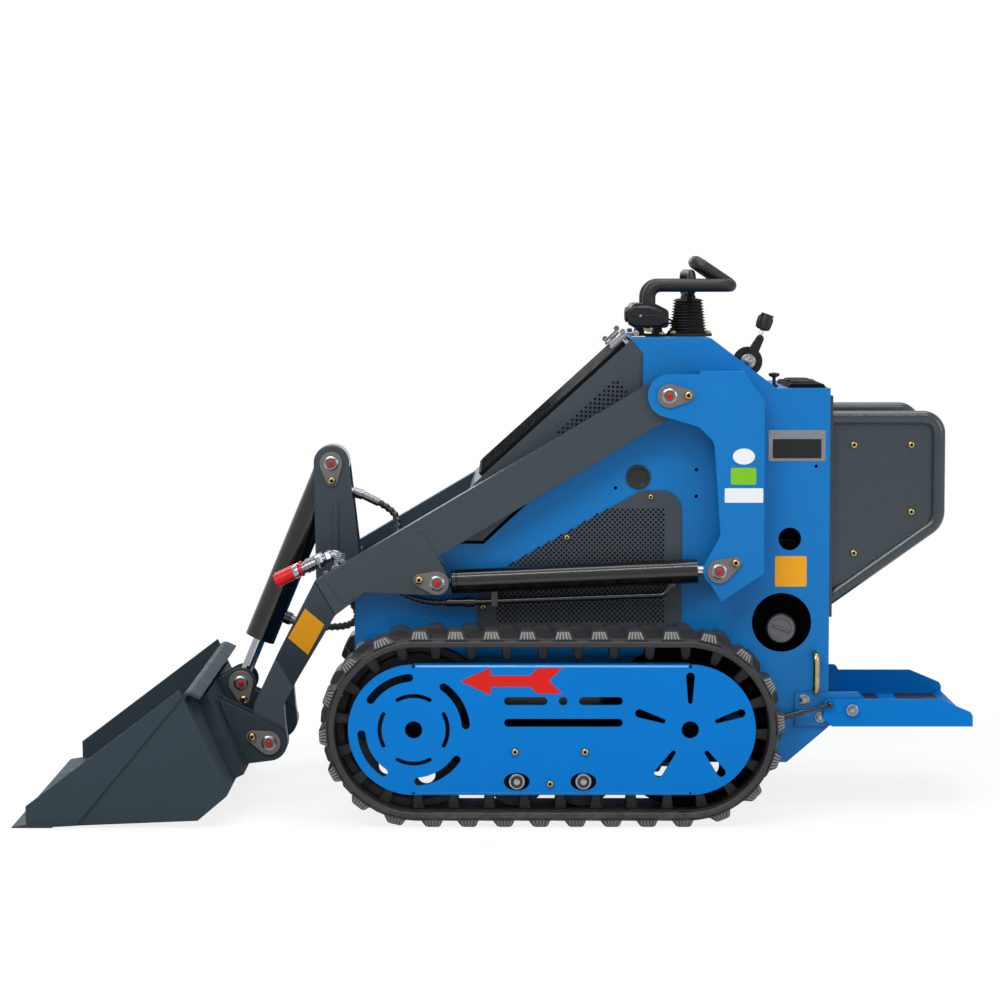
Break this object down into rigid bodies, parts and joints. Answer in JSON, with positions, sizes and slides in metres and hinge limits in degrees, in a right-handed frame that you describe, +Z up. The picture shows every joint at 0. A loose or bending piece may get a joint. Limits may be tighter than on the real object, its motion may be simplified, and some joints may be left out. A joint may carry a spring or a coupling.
{
  "type": "stand-on mini track loader",
  "caption": "Stand-on mini track loader in blue and grey with rubber tracks, low lift arms, a smooth-edged bucket and a fold-up operator platform",
  "frame": {"origin": "midway along the machine on the ground, on its centre plane", "axes": "+X forward, +Y to the machine's left, +Z up"},
  "size_m": [1.918, 0.88, 1.1239],
  "materials": {
    "paint_blue": "satin enamel, lightly worn",
    "paint_grey": "satin powder coat",
    "paint_dark": "satin powder coat",
    "paint_arm": "satin powder coat, scuffed at the toes",
    "paint_bucket": "satin powder coat, worn inside",
    "paint_black": "gloss black enamel",
    "mesh_black": "woven steel mesh, black",
    "steel": "plain steel, wiped with oil",
    "cast": "as cast, dusty",
    "chrome_rod": "ground and chromed",
    "track_rubber": "matte moulded rubber",
    "grip_rubber": "soft grip",
    "cap_plastic": "moulded",
    "zinc_gold": "yellow passivated zinc, polished by hands",
    "cap_red": "moulded dust caps",
    "tank_plastic": "moulded"
  },
  "bodies": {
    "chassis": {"side_plates": "paint_blue", "vent_panels": "paint_grey", "floor_pan": "paint_blue", "front_panel": "paint_blue", "cowl": "paint_blue", "rear_panel": "paint_dark", "engine_block": "cast", "fuel_tank": "tank_plastic", "filler_cap": "cap_plastic", "hood_hinges": "steel", "track_left": "track_rubber", "track_right": "track_rubber", "idlers": "cast", "sprockets": "cast", "rollers": "cast", "track_frames": "paint_dark", "track_guards": "paint_blue", "lift_towers": "paint_blue", "platform_brackets": "paint_blue", "hip_guards": "paint_dark", "grab_handles": "zinc_gold", "strut_anchor": "steel", "port_caps": "grip_rubber", "hand_rest": "grip_rubber", "control_lever": "chrome_rod", "choke_knob": "cap_plastic", "gauge_panel": "cap_plastic", "control_pod": "cap_plastic", "joystick_bellows": "grip_rubber", "throttle_lever": "paint_dark"},
    "hood": {"hood_shell": "paint_grey", "hood_grille": "mesh_black"},
    "boom": {"lift_arms": "paint_arm", "boom_crossmember": "paint_arm", "tilt_bracket": "paint_arm", "quick_couplers": "steel", "coupler_caps": "cap_red"},
    "bucket": {"bucket_shell": "paint_bucket", "cutting_edge": "paint_bucket", "hitch_plate": "paint_bucket"},
    "lift_cylinder_left": {"lift_barrel_left": "paint_black", "lift_pipe_left": "paint_black"},
    "lift_ram_left": {"lift_rod_left": "chrome_rod"},
    "lift_cylinder_right": {"lift_barrel_right": "paint_black", "lift_pipe_right": "paint_black"},
    "lift_ram_right": {"lift_rod_right": "chrome_rod"},
    "tilt_cylinder": {"tilt_barrel": "paint_black", "tilt_ports": "steel"},
    "tilt_ram": {"tilt_rod": "chrome_rod"},
    "platform": {"operator_platform": "paint_blue"},
    "gas_strut": {"strut_barrel": "paint_black"},
    "gas_strut_rod": {"strut_rod": "chrome_rod"}
  },
  "joints": [
    {"name": "boom_lift", "type": "hinge", "parent": "chassis", "child": "boom", "pos_m": [-0.3377, 0, 0.8444], "axis": [0, -1, 0], "range_deg": [0, 72]},
    {"name": "bucket_tilt", "type": "hinge", "parent": "boom", "child": "bucket", "pos_m": [0.471, 0, 0.1325], "axis": [0, -1, 0], "range_deg": [-100, 12]},
    {"name": "hood_open", "type": "hinge", "parent": "chassis", "child": "hood", "pos_m": [0.106, 0, 0.557], "axis": [0, 1, 0], "range_deg": [0, 55]},
    {"name": "platform_fold", "type": "hinge", "parent": "chassis", "child": "platform", "pos_m": [-0.7123, 0, 0.2072], "axis": [0, 1, 0], "range_deg": [0, 80]},
    {"name": "tilt_cylinder_swing", "type": "hinge", "parent": "boom", "child": "tilt_cylinder", "pos_m": [0.35, 0, 0.6948], "axis": [0, -1, 0], "range_deg": [-4.6, 0.6]},
    {"name": "tilt_ram_slide", "type": "slide", "parent": "tilt_cylinder", "child": "tilt_ram", "axis": [0.3824, 0, -0.924], "range_m": [-0.024, 0.188]},
    {"name": "strut_swing", "type": "hinge", "parent": "chassis", "child": "gas_strut", "pos_m": [-0.478, 0.247, 0.167], "axis": [0, 1, 0], "range_deg": [-17, 0]},
    {"name": "strut_slide", "type": "slide", "parent": "gas_strut", "child": "gas_strut_rod", "axis": [-0.9645, 0, 0.264], "range_m": [0, 0.021]},
    {"name": "lift_cylinder_swing_left", "type": "hinge", "parent": "boom", "child": "lift_cylinder_left", "pos_m": [0.1265, 0.257, 0.468], "axis": [0, -1, 0], "range_deg": [-21.5, 0.5]},
    {"name": "lift_ram_slide_left", "type": "slide", "parent": "lift_cylinder_left", "child": "lift_ram_left", "axis": [-0.999, 0, 0.0439], "range_m": [0, 0.345]},
    {"name": "lift_cylinder_swing_right", "type": "hinge", "parent": "boom", "child": "lift_cylinder_right", "pos_m": [0.1265, -0.257, 0.468], "axis": [0, -1, 0], "range_deg": [-21.5, 0.5]},
    {"name": "lift_ram_slide_right", "type": "slide", "parent": "lift_cylinder_right", "child": "lift_ram_right", "axis": [-0.999, 0, 0.0439], "range_m": [0, 0.345]}
  ],
  "couplings": [
    {"joint": "tilt_cylinder_swing", "follows": "bucket_tilt", "ratio": 0.044},
    {"joint": "tilt_ram_slide", "follows": "bucket_tilt", "m_per_rad": -0.1063},
    {"joint": "strut_swing", "follows": "platform_fold", "ratio": -0.1959},
    {"joint": "strut_slide", "follows": "platform_fold", "m_per_rad": 0.01289},
    {"joint": "lift_cylinder_swing_left", "follows": "boom_lift", "ratio": -0.2938},
    {"joint": "lift_ram_slide_left", "follows": "boom_lift", "m_per_rad": 0.2709},
    {"joint": "lift_cylinder_swing_right", "follows": "boom_lift", "ratio": -0.2938},
    {"joint": "lift_ram_slide_right", "follows": "boom_lift", "m_per_rad": 0.2709}
  ]
}
